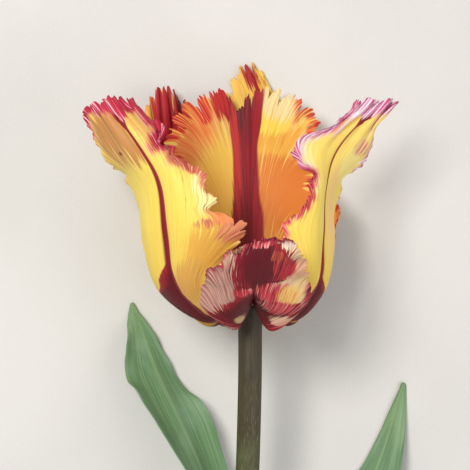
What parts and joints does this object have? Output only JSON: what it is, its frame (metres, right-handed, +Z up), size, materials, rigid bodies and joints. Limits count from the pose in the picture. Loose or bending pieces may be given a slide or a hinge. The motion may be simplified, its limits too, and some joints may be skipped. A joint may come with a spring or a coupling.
{
  "type": "tulip",
  "caption": "Cut parrot tulip lying down: fringed, waved and flame-streaked petals round the stamens and pistil, on a round stem with clasping leaves.",
  "frame": {"origin": "middle of the lying flower's footprint, on the surface that it rests on", "axes": "+Y runs from the cut end of the stem to the tips of the petals, +X to the right seen from above with the bloom away from the viewer, +Z up"},
  "size_m": [0.1256, 0.3508, 0.0994],
  "materials": {
    "petal_yellow": "soft satin petal, yellow with a crimson midrib stripe and rose fringe",
    "petal_orange": "soft satin petal, yellow to orange with a wide dark red centre band and red streaks",
    "petal_rose": "soft satin petal, pale rose and cream with a dark red flame",
    "petal_crimson": "soft satin petal, yellow with a crimson flame and maroon foot",
    "stem_green": "smooth waxy dark green stem",
    "leaf_green": "waxy blue-green leaf with parallel veins",
    "stamen_dark": "powdery dark purple anthers on dark filaments",
    "pistil_green": "pale green ovary and creamy stigma"
  },
  "bodies": {
    "root": {"stem": "stem_green", "receptacle_stamens": "stamen_dark", "pistil": "pistil_green", "petal_inner_left": "petal_yellow", "petal_inner_right": "petal_yellow", "petal_inner_back": "petal_orange", "petal_outer_front": "petal_rose", "petal_outer_back_left": "petal_crimson", "petal_outer_back_right": "petal_crimson", "leaf_upper": "leaf_green", "leaf_lower": "leaf_green"}
  },
  "joints": []
}
